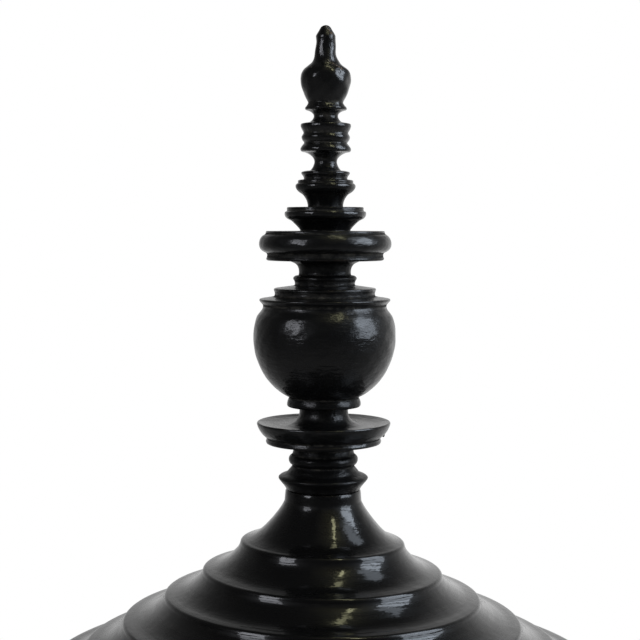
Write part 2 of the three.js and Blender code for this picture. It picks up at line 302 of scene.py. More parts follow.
# Where the turner cut a little fuller or slighter: height, reach up and down, and how much wider
CUTS = [
    (0.6233, 3.4 * MM, 0.8 * MM),
    (0.6192, 2.6 * MM, 0.4 * MM),
    (0.6134, 2.4 * MM, 0.65 * MM),
    (0.5136, 6.0 * MM, -0.8 * MM),
    (0.4309, 2.6 * MM, -0.8 * MM),
    (0.4098, 2.8 * MM, -1.0 * MM),
    (0.4040, 3.6 * MM, -0.7 * MM),
]
SKIN_RADII = [0.010, 0.0125]  # pegs and sockets lie within the first
# Height, and how far the axis runs off to the right
LEANS = [(0.4, 0.0), (0.52, 0.2), (0.6, 0.2), (0.63, 0.1), (0.66, -0.3)]
# Height, and how much wider the worn tip is there, in millimetres
TIP_ROUNDING = [(0.6795, 0.0), (0.6815, -0.18), (0.6835, -0.08), (0.6848, 0.28), (0.686, 0.48), (0.6872, 0.3)]
TIP_CORE = 1.5  # millimetres from the axis
# Height, and how much higher the rims stand on the right
TILTS = [(0.405, 0.0), (0.43, 0.006), (0.575, 0.006), (0.6, 0.0), (0.615, -0.006), (0.62, 0.0)]


def ramp(value, low, high):
    """0 below one level and 1 above another, with a smooth rise between them."""
    t = np.clip((value - low) / (high - low), 0, 1)
    return t * t * (3 - 2 * t)


def hand_made(points, body):
    """The place of each point after small errors of hand work, which fade out where bodies fit together."""
    x, y, z = points.T
    radius = np.hypot(x, y)
    azimuth = np.arctan2(y, x)
    low, middle, high, top = SLACK_LEVELS
    slack = ramp(z, low, middle) * (1 - ramp(z, high, top)) if body == "lid" else 0 * z
    lobes = sum(share * np.cos(count * azimuth + start + LOBE_TWIST * z) for count, share, start in LOBES)
    share = SPIRE_LOBE_SHARE if body == "spire" else LOBE_SHARE
    free = 1 - ramp(z, *RIM_LEVELS[0]) + ramp(z, *RIM_LEVELS[1])
    free = free * (1 - ramp(z, *JOINT_LEVELS[0]) * (1 - ramp(z, *JOINT_LEVELS[1])))
    grow = 1 + share * lobes * np.clip(free, 0, 1)
    lean = 0 * z
    tilt = 0 * z
    if body == "spire":
        waves = sum(np.sin(a * x + b * y + c * z + start) for a, b, c, start in LUMPS)
        depth = SPIRE_LUMP * ramp(z, *JOINT_LEVELS[1]) + (BUD_LUMP - SPIRE_LUMP) * ramp(z, *BUD_LEVELS)
        grow = grow + waves * depth / np.maximum(radius, LUMP_CORE)
        grow = grow + np.interp(z, *np.array(TIP_ROUNDING).T) / np.maximum(radius / MM, TIP_CORE)
        cut = sum(depth * ramp(1 - np.abs(z - height) / reach, 0, 1) for height, reach, depth in CUTS)
        grow = grow + cut * ramp(radius, *SKIN_RADII) / np.maximum(radius, SKIN_RADII[0])
        lean = np.interp(z, *np.array(LEANS).T) * MM
        tilt = np.interp(z, *np.array(TILTS).T)
    return np.column_stack([
        x * grow + lean + SLACK_SHIFT * slack * ramp(radius, *SLACK_RADII),
        y * grow,
        z - SLACK_SLOPE * x * slack + tilt * x,
    ])


NUDGE = 1e-5  # how far apart the slopes of the hand work are taken


def hand_made_normals(points, normals, body):
    """Normals turned as the hand work turns the surface."""
    base = hand_made(points, body)
    columns = [(hand_made(points + NUDGE * axis, body) - base) / NUDGE for axis in np.eye(3)]
    jacobian = np.stack(columns, axis=2)
    turned = np.linalg.solve(np.transpose(jacobian, (0, 2, 1)), normals[:, :, None])[:, :, 0]
    return turned / np.linalg.norm(turned, axis=1)[:, None]


# Turning an outline into a mesh


def joined(parts):
    return Rows(
        np.vstack([part.points for part in parts]),
        np.vstack([part.before for part in parts]),
        np.vstack([part.after for part in parts]),
        np.concatenate([part.bend for part in parts]),
        np.concatenate([part.along for part in parts]),
    )


def placed(name, data):
    """A new object in the scene."""
    item = bpy.data.objects.new(name, data)
    bpy.context.scene.collection.objects.link(item)
    return item


def turned_mesh(name, parts, body, segments, materials):
    """A mesh turned from parts of an outline. Each part is its rows and the number of its material."""
    rows = joined([part for part, _ in parts])
    zone = np.concatenate([np.full(len(part.points), number) for part, number in parts])
    closed = rows.points[0, 0] > WELD
    count = len(rows.points)
    gaps = np.roll(rows.points, -1, axis=0) - rows.points
    lengths = np.linalg.norm(gaps, axis=1)
    flat = np.column_stack([gaps[:, 1], -gaps[:, 0]]) / np.maximum(lengths, WELD)[:, None]
    ends = np.cumsum([len(part.points) for part, _ in parts]) - 1
    azimuths = np.arange(segments) * 2 * math.pi / segments
    around = np.column_stack([np.cos(azimuths), np.sin(azimuths)])

    first = np.zeros(count, int)
    on_axis = rows.points[:, 0] <= WELD
    sizes = np.where(on_axis, 1, segments)
    first[1:] = np.cumsum(sizes)[:-1]
    spots = []
    for place in range(count):
        r, z = rows.points[place]
        turns = around[:1] * 0 if on_axis[place] else around * r
        spots.append(np.column_stack([turns, np.full(len(turns), z)]))
    spots = np.vstack(spots)
    along = np.repeat(rows.along, sizes)
    bend = np.clip(np.repeat(rows.bend, sizes) * BEND_REACH, -1, 1)

    faces = []
    normals = []
    slots = []
    column = np.arange(segments)
    ahead = (column + 1) % segments
    for place in range(count if closed else count - 1):
        upper = (place + 1) % count
        if lengths[place] < WELD:
            continue
        lower_normal, upper_normal = rows.after[place], rows.before[upper]
        if place in ends:
            lower_normal = upper_normal = flat[place]
        low = first[place] + (0 * column if on_axis[place] else column)
        low_ahead = first[place] + (0 * column if on_axis[place] else ahead)
        high = first[upper] + (0 * column if on_axis[upper] else column)
        high_ahead = first[upper] + (0 * column if on_axis[upper] else ahead)
        corners = [(low, column, lower_normal), (low_ahead, ahead, lower_normal)]
        corners += [(high_ahead, ahead, upper_normal), (high, column, upper_normal)]
        if on_axis[place]:
            corners.pop(1)
        elif on_axis[upper]:
            corners.pop(2)
        faces.extend(np.column_stack([corner[0] for corner in corners]).tolist())
        turned = [
            np.column_stack([around[corner[1]] * corner[2][0], np.full(segments, corner[2][1])])
            for corner in corners
        ]
        normals.append(np.stack(turned, axis=1).reshape(-1, 3))
        slots.append(np.full(segments, zone[place]))

    corner_spots = spots[np.concatenate([np.array(face) for face in faces])]
    normals = hand_made_normals(corner_spots, np.vstack(normals), body)
    mesh = bpy.data.meshes.new(name)
    mesh.from_pydata(hand_made(spots, body).tolist(), [], faces)
    for label, values in (("along", along), ("bend", bend)):
        mesh.attributes.new(label, "FLOAT", "POINT").data.foreach_set("value", values.astype(np.float32))
    mesh.polygons.foreach_set("use_smooth", [True] * len(faces))
    mesh.polygons.foreach_set("material_index", np.concatenate(slots).astype(np.int32))
    for material in materials:
        mesh.materials.append(material)
    mesh.update()
    mesh.normals_split_custom_set(normals.tolist())
    return placed(name, mesh)


# Materials

LEAST_RADIUS = 1e-5  # keeps the direction round the axis from dividing by nothing


class Nodes:
    """Short calls for making shader nodes."""

    def __init__(self, name):
        self.material = bpy.data.materials.new(name)
        self.material.use_nodes = True
        self.tree = self.material.node_tree
        self.shader = self.tree.nodes["Principled BSDF"]
        self.place = self.new("ShaderNodeTexCoord").outputs["Object"]
        self.x, self.y, self.z = self.split(self.place)
        self.along = self.attribute("along")
        self.bend = self.attribute("bend")

    def new(self, kind, **settings):
        node = self.tree.nodes.new(kind)
        for key, value in settings.items():
            setattr(node, key, value)
        return node

    def link(self, source, socket):
        self.tree.links.new(source, socket)

    def set(self, socket, value):
        if isinstance(value, bpy.types.NodeSocket):
            self.link(value, socket)
        else:
            socket.default_value = value

    def attribute(self, name):
        return self.new("ShaderNodeAttribute", attribute_name=name).outputs["Fac"]

    def math(self, operation, a, b=0.0, clamp=False):
        node = self.new("ShaderNodeMath", operation=operation, use_clamp=clamp)
        self.set(node.inputs[0], a)
        self.set(node.inputs[1], b)
        return node.outputs[0]

    def times(self, a, b, clamp=False):
        return self.math("MULTIPLY", a, b, clamp)

    def plus(self, a, b, clamp=False):
        return self.math("ADD", a, b, clamp)

    def range(self, value, low, high, to_low=0.0, to_high=1.0):
        node = self.new("ShaderNodeMapRange", clamp=True)
        for socket, given in zip(node.inputs, (value, low, high, to_low, to_high)):
            self.set(socket, given)
        return node.outputs[0]

    def vector(self, x, y, z):
        node = self.new("ShaderNodeCombineXYZ")
        for socket, given in zip(node.inputs, (x, y, z)):
            self.set(socket, given)
        return node.outputs[0]

    def split(self, at):
        node = self.new("ShaderNodeSeparateXYZ")
        self.link(at, node.inputs[0])
        return node.outputs

    def vector_math(self, operation, at, by=None):
        node = self.new("ShaderNodeVectorMath", operation=operation)
        self.link(at, node.inputs[0])
        if by is not None:
            node.inputs[1].default_value = by
        return node.outputs["Value" if operation in ("DOT_PRODUCT", "LENGTH") else "Vector"]

    def noise(self, at, scale, detail=2.0, roughness=0.5):
        node = self.new("ShaderNodeTexNoise")
        self.link(at, node.inputs["Vector"])
        node.inputs["Scale"].default_value = scale
        node.inputs["Detail"].default_value = detail
        node.inputs["Roughness"].default_value = roughness
        return node.outputs["Fac"]

    def cells(self, at, scale):
        node = self.new("ShaderNodeTexVoronoi")
        self.link(at, node.inputs["Vector"])
        node.inputs["Scale"].default_value = scale
        return node.outputs["Distance"]

    def mix(self, share, low, high):
        node = self.new("ShaderNodeMix", data_type="RGBA")
        self.set(node.inputs["Factor"], share)
        self.set(node.inputs["A"], low)
        self.set(node.inputs["B"], high)
        return node.outputs["Result"]

    def radius(self):
        return self.math("SQRT", self.plus(self.times(self.x, self.x), self.times(self.y, self.y)))

    def round_the_axis(self, girth, pitch):
        """A place made of the direction round the axis, at one girth, and the way along the outline."""
        radius = self.math("MAXIMUM", self.radius(), LEAST_RADIUS)
        ring = [self.times(self.math("DIVIDE", side, radius), girth) for side in (self.x, self.y)]
        return self.vector(*ring, self.times(self.along, pitch))

    def ring_noise(self, girth, pitch, detail, roughness):
        """A noise that runs round the axis, as tools and brushes do."""
        return self.noise(self.round_the_axis(girth, pitch), 1.0, detail, roughness)

    def bump(self, height, distance, under=None):
        node = self.new("ShaderNodeBump")
        node.inputs["Strength"].default_value = 1.0
        node.inputs["Distance"].default_value = distance
        self.link(height, node.inputs["Height"])
        if under is not None:
            self.link(under, node.inputs["Normal"])
        return node.outputs["Normal"]


# A noise is its scale, detail and roughness, and one round the axis starts with its girth and its pitch.
# A span is the two values between which something sets in, sometimes with what it sets in from and to.
RIPPLE = (120, 2.0, 0.45)
BANDS = (2.2, 170, 2.0, 0.5)
BRUSH = (7.0, 380, 2.0, 0.6)
LINES = (1.5, 640, 3.0, 0.6)
BAND_DEPTH = 3  # times that of the lines
BRUSH_DEPTH = 2
PITS_PER_METRE = 420
PIT_SIZE = 0.16  # of the way between two pits


def lacquer_relief(n, line_depth, ripple_depth, pit_depth):
    """Turning lines, brush ripples, the slow waves of hand-laid lacquer, and small pits and specks."""
    pits = n.range(n.cells(n.place, PITS_PER_METRE), 0.0, PIT_SIZE)
    normal = n.bump(n.noise(n.place, *RIPPLE), ripple_depth)
    normal = n.bump(n.ring_noise(*BANDS), BAND_DEPTH * line_depth, under=normal)
    normal = n.bump(n.ring_noise(*BRUSH), BRUSH_DEPTH * line_depth, under=normal)
    normal = n.bump(n.ring_noise(*LINES), line_depth, under=normal)
    return n.bump(pits, pit_depth, under=normal)


BLACK = (0.0026, 0.0026, 0.0027, 1)
SPIRE_BLACK = (0.0028, 0.0029, 0.0031, 1)
# Brown undercoat where the edges are worn through, light enough to be a painted highlight along the edges too
UNDERCOAT_AND_EDGE_HIGHLIGHT = (0.02, 0.014, 0.009, 1)
BARE = (0.13, 0.085, 0.048, 1)
DUST = (0.1, 0.092, 0.075, 1)
CINNABAR = (0.19, 0.012, 0.007, 1)
DARK_CINNABAR = (0.055, 0.006, 0.005, 1)

RAGGED = (620, 3.0, 0.7)
RAGGED_SPAN = (0.3, 0.7)
WORN_HEART = 0.4  # of the width, and worn right through


def near_segment(n, start, end, width, raggedness):
    """1 on the stretch between two places, fading out at a width that a noise makes ragged."""
    start, end = Vector(start), Vector(end)
    half = (end - start).length / 2
    offset = n.vector_math("SUBTRACT", n.place, (start + end) / 2)
    run = n.vector_math("DOT_PRODUCT", offset, (end - start).normalized())
    whole = n.vector_math("LENGTH", offset)
    squared = n.math("SUBTRACT", n.math("POWER", whole, 2.0), n.math("POWER", run, 2.0))
    aside = n.math("SQRT", n.math("MAXIMUM", squared, 0.0))
    ragged = n.range(n.noise(n.place, *RAGGED), *RAGGED_SPAN, -raggedness, raggedness)
    beside = n.range(n.plus(aside, ragged), width, WORN_HEART * width)
    within = n.range(n.math("ABSOLUTE", run), half + width, half)
    return n.times(beside, within)


PIT_DEPTH = 0.02 * MM
EDGE_BEND_SPAN = (0.25, 0.95)
HOLLOW_BEND_SPAN = (-0.06, -0.45)
# Patches along the edges where the wear and the painted edge highlight set in
RUB_AND_HIGHLIGHT = (95, 4.0, 0.65)
RUB_AND_HIGHLIGHT_SPAN = (0.5, 0.68)
DUSTY = (240, 4.0, 0.7)
DUSTY_SPAN = (0.42, 0.75)
CLOUDY = (0.8, 110, 4.0, 0.65)
CLOUDY_SPAN = (0.3, 0.72)
HOLLOW_DULLNESS = 0.28  # added to the roughness
CHIP_DULLNESS = 0.35
CHIP_DEPTH = 0.35 * MM
CHIP_RAGGEDNESS = 0.7  # of its width
CHIP_GRAIN = (900, 2.0, 0.6)
CHIP_GRAIN_SPAN = (0.4, 0.62)
UNDER_GLOSS = 0.2  # how strongly the duller lacquer under the glossy skin shines
WORN_FADE = 2 * MM
# Heights, and how much of the skin is gone between them
WORN_SPANS = [(0.405, 0.427, 0.75), (0.4465, 0.461, 0.5), (0.531, 0.545, 0.6)]
UPPER_WORN_SPANS = [(0.576, 0.587, 0.75)]


def black_lacquer(name, black, gloss, coat, lines_depth, ripple_depth, edge_wear_and_highlight, dust, hollow_wear=1.0,
                  chips=(), worn_spans=()):
    """Black lacquer: a glossy skin on a duller one, worn through along its edges to a lighter brown that is
    also a painted highlight there, dull and dusty in its hollows.
    """
    n = Nodes(name)
    normal = lacquer_relief(n, lines_depth, ripple_depth, PIT_DEPTH)
    edge = n.range(n.bend, *EDGE_BEND_SPAN)
    hollow = n.range(n.bend, *HOLLOW_BEND_SPAN)
    patches = n.range(n.noise(n.place, *RUB_AND_HIGHLIGHT), *RUB_AND_HIGHLIGHT_SPAN)
    # Worn edges: partly real wear, partly a painted highlight that lightens the convex edges
    rub_and_edge_highlight = n.times(n.times(edge, patches), edge_wear_and_highlight, clamp=True)
    color = n.mix(rub_and_edge_highlight, black, UNDERCOAT_AND_EDGE_HIGHLIGHT)
    dusty = n.range(n.noise(n.place, *DUSTY), *DUSTY_SPAN)
    color = n.mix(n.times(n.times(hollow, dusty), dust, clamp=True), color, DUST)
    dull = n.times(hollow, HOLLOW_DULLNESS * hollow_wear)
    for start, end, width in chips:
        chip = near_segment(n, start, end, width, CHIP_RAGGEDNESS * width)
        grain = n.range(n.noise(n.place, *CHIP_GRAIN), *CHIP_GRAIN_SPAN)
        color = n.mix(n.times(chip, grain), color, BARE)
        dull = n.plus(dull, n.times(chip, CHIP_DULLNESS))
        normal = n.bump(n.times(chip, grain), CHIP_DEPTH, under=normal)
    cloudy = n.range(n.ring_noise(*CLOUDY), *CLOUDY_SPAN, *gloss)
    bare = n.plus(n.times(hollow, hollow_wear), rub_and_edge_highlight, clamp=True)
    for low, high, share in worn_spans:
        above = n.range(n.z, low - WORN_FADE, low)
        below = n.range(n.z, high + WORN_FADE, high)
        bare = n.plus(bare, n.times(n.times(above, below), share), clamp=True)
    weight, roughness = coat
    n.link(color, n.shader.inputs["Base Color"])
    n.link(n.plus(cloudy, dull), n.shader.inputs["Roughness"])
    n.link(n.range(bare, 0.0, 1.0, weight, 0.0), n.shader.inputs["Coat Weight"])
    n.shader.inputs["Coat Roughness"].default_value = roughness
    n.shader.inputs["Specular IOR Level"].default_value = UNDER_GLOSS
    n.link(normal, n.shader.inputs["Normal"])
    n.link(normal, n.shader.inputs["Coat Normal"])
    return n.material


RED_CLOUDS = (38, 5.0, 0.62)
RED_CLOUD_SPAN = (0.35, 0.72)
RED_STREAKS = (1.5, 90, 4.0, 0.6)
RED_STREAK_SPAN = (0.4, 0.75)
# How much the red darkens in its hollows: painted shade
RED_HOLLOW_SHADE_SPAN = (-0.1, -0.7, 0.0, 0.5)
RED_ROUGHNESS_SPAN = (0.0, 1.0, 0.27, 0.4)


def red_lacquer(name):
    """Dark red lacquer, satin, darker where hands have worn it, with painted shade in its hollows."""
    n = Nodes(name)
    normal = lacquer_relief(n, line_depth=0.04 * MM, ripple_depth=0.08 * MM, pit_depth=0.015 * MM)
    clouds = n.range(n.noise(n.place, *RED_CLOUDS), *RED_CLOUD_SPAN)
    streaks = n.range(n.ring_noise(*RED_STREAKS), *RED_STREAK_SPAN)
    # Darker in random clouds and streaks, and in the hollows as painted shade
    dark = n.plus(n.times(clouds, streaks), n.range(n.bend, *RED_HOLLOW_SHADE_SPAN), clamp=True)
    n.link(n.mix(dark, CINNABAR, DARK_CINNABAR), n.shader.inputs["Base Color"])
    n.link(n.range(clouds, *RED_ROUGHNESS_SPAN), n.shader.inputs["Roughness"])
    n.link(normal, n.shader.inputs["Normal"])
    return n.material


WOOD_DARK = (0.11, 0.058, 0.025, 1)
WOOD_LIGHT = (0.27, 0.16, 0.08, 1)
WOOD_RING = (0.07, 0.036, 0.016, 1)
FIBRES_PER_METRE = (900, 900, 60)
FIBRE = (1.0, 4.0, 0.6)
FIBRE_SPAN = (0.35, 0.65)
FIBRE_ROUGHNESS_SPAN = (0.2, 0.8, 0.5, 0.75)
FIBRE_DEPTH = 0.06 * MM
WOOD_RINGS = (240, 3.0, 0.6)
WOOD_RING_SPAN = (0.5, 0.75, 0.0, 0.6)


def bare_wood(name):
    """Turned wood without lacquer, on pegs and in sockets."""
    n = Nodes(name)
    drawn_out = [n.times(side, count) for side, count in zip((n.x, n.y, n.z), FIBRES_PER_METRE)]
    fibre = n.noise(n.vector(*drawn_out), *FIBRE)
    rings = n.noise(n.place, *WOOD_RINGS)
    color = n.mix(n.range(fibre, *FIBRE_SPAN), WOOD_DARK, WOOD_LIGHT)
    color = n.mix(n.range(rings, *WOOD_RING_SPAN), color, WOOD_RING)
    n.link(color, n.shader.inputs["Base Color"])
    n.link(n.range(fibre, *FIBRE_ROUGHNESS_SPAN), n.shader.inputs["Roughness"])
    n.link(n.bump(fibre, FIBRE_DEPTH), n.shader.inputs["Normal"])
    return n.material


CHIPS = [  # worn through on the bud: the two ends of each stretch, and its width
    ((0.002, -0.0088, 0.6648), (0.0095, -0.0102, 0.6598), 1.0 * MM),
    ((0.0004, -0.003, 0.6862), (0.0036, -0.0044, 0.6815), 1.1 * MM),
    ((-0.009, -0.009, 0.6605), (-0.011, -0.008, 0.6575), 0.7 * MM),
]
lid_lacquer = black_lacquer(
    "lid_lacquer", BLACK, gloss=(0.2, 0.34), coat=(0.85, 0.06), lines_depth=0.05 * MM, ripple_depth=0.12 * MM,
    edge_wear_and_highlight=0.4, dust=0.25)
spire_lacquer = black_lacquer(
    "spire_lacquer", SPIRE_BLACK, gloss=(0.3, 0.44), coat=(0.85, 0.19), lines_depth=0.14 * MM,
    ripple_depth=0.2 * MM, edge_wear_and_highlight=0.5, dust=0.4, worn_spans=WORN_SPANS)
upper_lacquer = black_lacquer(
    "upper_lacquer", SPIRE_BLACK, gloss=(0.26, 0.38), coat=(0.95, 0.09), lines_depth=0.1 * MM,
    ripple_depth=0.14 * MM, edge_wear_and_highlight=0.4, dust=0.3, hollow_wear=0.35, worn_spans=UPPER_WORN_SPANS)
bud_lacquer = black_lacquer(
    "bud_lacquer", SPIRE_BLACK, gloss=(0.28, 0.42), coat=(0.95, 0.11), lines_depth=0.07 * MM,
    ripple_depth=0.24 * MM, edge_wear_and_highlight=0.8, dust=0.5, hollow_wear=0.5, chips=CHIPS)
inner_lacquer = red_lacquer("inner_lacquer")
peg_wood = bare_wood("peg_wood")
OUTSIDE, INSIDE, PEG = 0, 1, 2
COATS = [lid_lacquer, inner_lacquer, peg_wood]
SPIRE_COATS = [spire_lacquer, inner_lacquer, peg_wood]
UPPER_COATS = [upper_lacquer, inner_lacquer, peg_wood]
BUD_COATS = [bud_lacquer, inner_lacquer, peg_wood]
COATS_OF = {
    "spire_upper_cup": UPPER_COATS,
    "spire_small_cup": UPPER_COATS,
    "spire_spindle": UPPER_COATS,
    "spire_bud": BUD_COATS,
}


# Towers: pieces stacked on one another, whose skin is drawn as one curve and cut at the seats


def near(values, value):
    return np.flatnonzero(np.abs(values - value) < LEVEL_TOLERANCE)


def seam(below, above, outside):
    """The place of the closed joint between two neighbouring corners."""
    pick = min if outside else max
    return (pick(below[0], above[0]), (below[1] + above[1]) / 2)


def sides_of(rows, seat):
    """The part before the outer corner at a seat, the outer run up to the top corner, and the part after."""
    bottom = near(rows[:, 1], seat)
    bottom = bottom[np.argmax(rows[bottom, 0])]
    top = near(rows[:, 1], rows[:, 1].max())
    top = top[np.argmax(rows[top, 0])]
    return rows[:bottom], rows[bottom : top + 1], rows[top + 1 :]


def finish_piece(name, parts, body, segments, coats=COATS):
    piece = turned_mesh(name, parts, body, segments, coats)
    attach(piece, body)
    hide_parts(name)


def ring_tower(names, body, inside, red_outside=()):
    """Stacked rings from the bottom up, of which the last may be solid. Their skins are drawn as one run."""
    inner_runs = []
    outer_runs = []
    for rows in [outline(name) for name in names]:
        before, outer, after = sides_of(rows, rows[:, 1].min())
        if rows[0, 0] <= WELD:
            inner_runs.append(before)
            outer_runs.append(np.vstack([outer, after]))
        else:
            inner_runs.append(np.vstack([after, before]))
            outer_runs.append(outer)
    runs = inner_runs[::-1] + outer_runs
    owners = [(name, False) for name in reversed(names)] + [(name, True) for name in names]
    crest = [(runs[0][0] + runs[-1][-1]) / 2] if runs[0][0, 0] > WELD else []
    points = list(crest)
    cuts = []
    for number, run in enumerate(runs):
        if number and owners[number][0] != owners[number - 1][0]:
            cuts.append(len(points))
            points.append(seam(points[-1], run[0], owners[number][1]))
        elif number:
            cuts.append(None)
        points.extend(run)
    points.extend(crest)
    points, cuts = without_repeats(points, cuts)
    skin = Skin(points, RING_STEP, RING_SOFTNESS, RING_ROW_GAP)
    bottom = lowest_flat(skin)
    stops = [0, *[bottom if cut is None else skin.places[cut] for cut in cuts], len(skin.curve) - 1]
    slices = {owner: skin.piece(*stops[number : number + 2]) for number, owner in enumerate(owners)}
    for name in names:
        inner_coat = INSIDE if inside else OUTSIDE
        outer_coat = INSIDE if name in red_outside else OUTSIDE
        parts = [(slices[name, False], inner_coat), (slices[name, True], outer_coat)]
        finish_piece(name, parts, body, RING_TURN_SEGMENTS)


def without_repeats(points, cuts):
    """Points without neighbours in the same place, with the cuts' places kept true."""
    kept = []
    moved = []
    for point in points:
        if kept and np.linalg.norm(np.array(point) - kept[-1]) < LEVEL_TOLERANCE / 2:
            moved.append(len(kept) - 1)
            continue
        moved.append(len(kept))
        kept.append(np.array(point, float))
    return np.array(kept), [None if cut is None else moved[cut] for cut in cuts]


def lowest_flat(skin):
    """The place in the middle of the flat underside."""
    z = skin.curve[:, 1]
    flat = np.flatnonzero(z < z.min() + LEVEL_TOLERANCE)
    return int(flat[len(flat) // 2])


def spire_tower(names, body, seat):
    """Turned lengths pegged into one another: one outer skin, with straight pegs and sockets."""
    outlines = [outline(name) for name in names]
    parts_of = []
    points = []
    cuts = []
    for place, rows in enumerate(outlines):
        before, outer, after = sides_of(rows, seat)
        if place == 0:
            outer = np.vstack([before, outer])
            before = before[:0]
        else:
            cuts.append(len(points))
            points.append(seam(points[-1], outer[0], True))
        points.extend(outer)
        parts_of.append((before, after))
        seat = rows[:, 1].max() + SEAT_GAP
    points, cuts = without_repeats(points, cuts)
    skin = Skin(points, SPIRE_STEP, SPIRE_SOFTNESS, SPIRE_ROW_GAP)
    stops = [0, *[skin.places[cut] for cut in cuts], len(skin.curve) - 1]
    for place, name in enumerate(names):
        before, after = parts_of[place]
        middle = skin.piece(stops[place], stops[place + 1])
        parts = split_at_peg(skin, stops[1]) if place == 0 else [(middle, OUTSIDE)]
        if len(before):
            parts.insert(0, (straight(before, middle.along[0]), PEG))
        if len(after):
            parts.append((straight(after, middle.along[-1]), PEG))
        finish_piece(name, parts, body, SPIRE_TURN_SEGMENTS, COATS_OF.get(name, SPIRE_COATS))


PEG_RADIUS_LIMIT = 13 * MM
PEG_END = 1 * MM  # the lower end of the peg, where its edge is rounded


def split_at_peg(skin, end):
    """The first length's peg in bare wood, and the rest of it in lacquer."""
    r, z = skin.curve[:end].T
    outward = np.flatnonzero((r > PEG_RADIUS_LIMIT) & (z > z[0] + PEG_END))[0]
    return [(skin.piece(0, outward), PEG), (skin.piece(outward, end), OUTSIDE)]


ring_tower(
    ["foot_hoop", "stand_skirt", "waist_bead", "stand_cup", "bowl_base_shell", "belly_hoop", "bowl_wall",
     "bowl_rim_hoop"],
    "bowl", inside=True)
ring_tower(["bowl_floor"], "bowl", inside=True, red_outside=["bowl_floor"])
ring_tower(["tray_flange"], "tray", inside=False)
ring_tower(["tray_wall"], "tray", inside=True, red_outside=["tray_wall"])
ring_tower(["tray_floor"], "tray", inside=True, red_outside=["tray_floor"])
ring_tower(
    ["lid_rim_hoop", "lid_tier_6", "lid_tier_5", "lid_tier_4", "lid_tier_3", "lid_tier_2", "lid_tier_1",
     "lid_crown"],
    "lid", inside=True)
spire_tower(
    ["spire_collar", "spire_dish", "spire_bulb", "bulb_cover", "spire_disc", "spire_upper_cup",
     "spire_small_cup", "spire_spindle", "spire_bud"],
    "spire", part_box("lid_crown")[1].z + SEAT_GAP)


# The drop of lacquer that dried under the lip of the dish

DROP_TOP = (0.0374, 0, 0.4359)
DROP_RADIUS = 0.95 * MM
DROP_LENGTH = 3.1 * MM
DROP_ROWS = 8
DROP_COLUMNS = 20


def hanging_drop():
    """A drop drawn as rings of corners between its two ends."""
    turns = [2 * math.pi * column / DROP_COLUMNS for column in range(DROP_COLUMNS)]
    spots = [(0, 0, 0)]
    for row in range(1, DROP_ROWS):
        fall = math.pi * row / DROP_ROWS
        radius = DROP_RADIUS * math.sin(fall)
        height = -DROP_LENGTH * (1 - math.cos(fall)) / 2
        spots += [(radius * math.cos(turn), radius * math.sin(turn), height) for turn in turns]
    spots.append((0, 0, -DROP_LENGTH))
    faces = []
    for column in range(DROP_COLUMNS):
        ahead = (column + 1) % DROP_COLUMNS
        faces.append((0, 1 + column, 1 + ahead))
        for row in range(DROP_ROWS - 2):
            high, low = 1 + row * DROP_COLUMNS, 1 + (row + 1) * DROP_COLUMNS
            faces.append((high + column, low + column, low + ahead, high + ahead))
        last = 1 + (DROP_ROWS - 2) * DROP_COLUMNS
        faces.append((last + column, len(spots) - 1, last + ahead))
    mesh = bpy.data.meshes.new("dish_drop")
    mesh.from_pydata([Vector(spot) + Vector(DROP_TOP) for spot in spots], [], faces)
    mesh.polygons.foreach_set("use_smooth", [True] * len(faces))
    mesh.materials.append(spire_lacquer)
    mesh.update()
    drop = placed("dish_drop", mesh)
    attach(drop, "spire")


hanging_drop()


# Stage: a pale floor, a white surrounding, and a dark glowing dome in front of the vessel, a painted
# reflection of the room


def stage_mesh(name, spots, faces):
    mesh = bpy.data.meshes.new(name)
    mesh.from_pydata(spots, [], faces)
    item = placed(name, mesh)
    return item


def seen_rays(tree):
    """1 for rays from the camera, from gloss and through glass."""
    path = tree.nodes.new("ShaderNodeLightPath")
    total = None
    for ray in ("Is Camera Ray", "Is Glossy Ray", "Is Transmission Ray"):
        if total is None:
            total = path.outputs[ray]
            continue
        node = tree.nodes.new("ShaderNodeMath")
        node.operation = "MAXIMUM"
        tree.links.new(total, node.inputs[0])
        tree.links.new(path.outputs[ray], node.inputs[1])
        total = node.outputs[0]
    return total


def blend_into(tree, output, share, first, second):
    """Mixes two shaders into an output."""
    both = tree.nodes.new("ShaderNodeMixShader")
    for socket, source in zip(both.inputs, (share, first, second)):
        tree.links.new(source, socket)
    tree.links.new(both.outputs[0], tree.nodes[output].inputs[0])


WHITE = (1, 1, 1, 1)
FLOOR_RADIUS = 9.0
FLOOR_SIDES = 96
FLOOR_COLOR = (0.86, 0.86, 0.85, 1)
FLOOR_ROUGHNESS = 0.9
FLOOR_FADE_SPAN = (0.5, 0.98)  # radii between which the floor fades into the white


def make_floor():
    angles = [2 * math.pi * side / FLOOR_SIDES for side in range(FLOOR_SIDES)]
    spots = [(FLOOR_RADIUS * math.cos(a), FLOOR_RADIUS * math.sin(a), 0) for a in angles]
    floor = stage_mesh("floor", spots, [list(range(FLOOR_SIDES))])
    n = Nodes("floor_paper")
    n.shader.inputs["Base Color"].default_value = FLOOR_COLOR
    n.shader.inputs["Roughness"].default_value = FLOOR_ROUGHNESS
    glow = n.new("ShaderNodeEmission")
    share = n.times(n.range(n.radius(), *FLOOR_FADE_SPAN), seen_rays(n.tree))
    blend_into(n.tree, "Material Output", share, n.shader.outputs[0], glow.outputs[0])
    floor.data.materials.append(n.material)


WORLD_LEVEL = 0.5


def make_world():
    world = bpy.data.worlds.new("white_surrounding")
    bpy.context.scene.world = world
    world.use_nodes = True
    tree = world.node_tree
    seen = tree.nodes["Background"]
    seen.inputs["Color"].default_value = WHITE
    seen.inputs["Strength"].default_value = 1.0
    level = tree.nodes.new("ShaderNodeBackground")
    level.inputs["Color"].default_value = WHITE
    level.inputs["Strength"].default_value = WORLD_LEVEL
    blend_into(tree, "World Output", seen_rays(tree), level.outputs[0], seen.outputs[0])


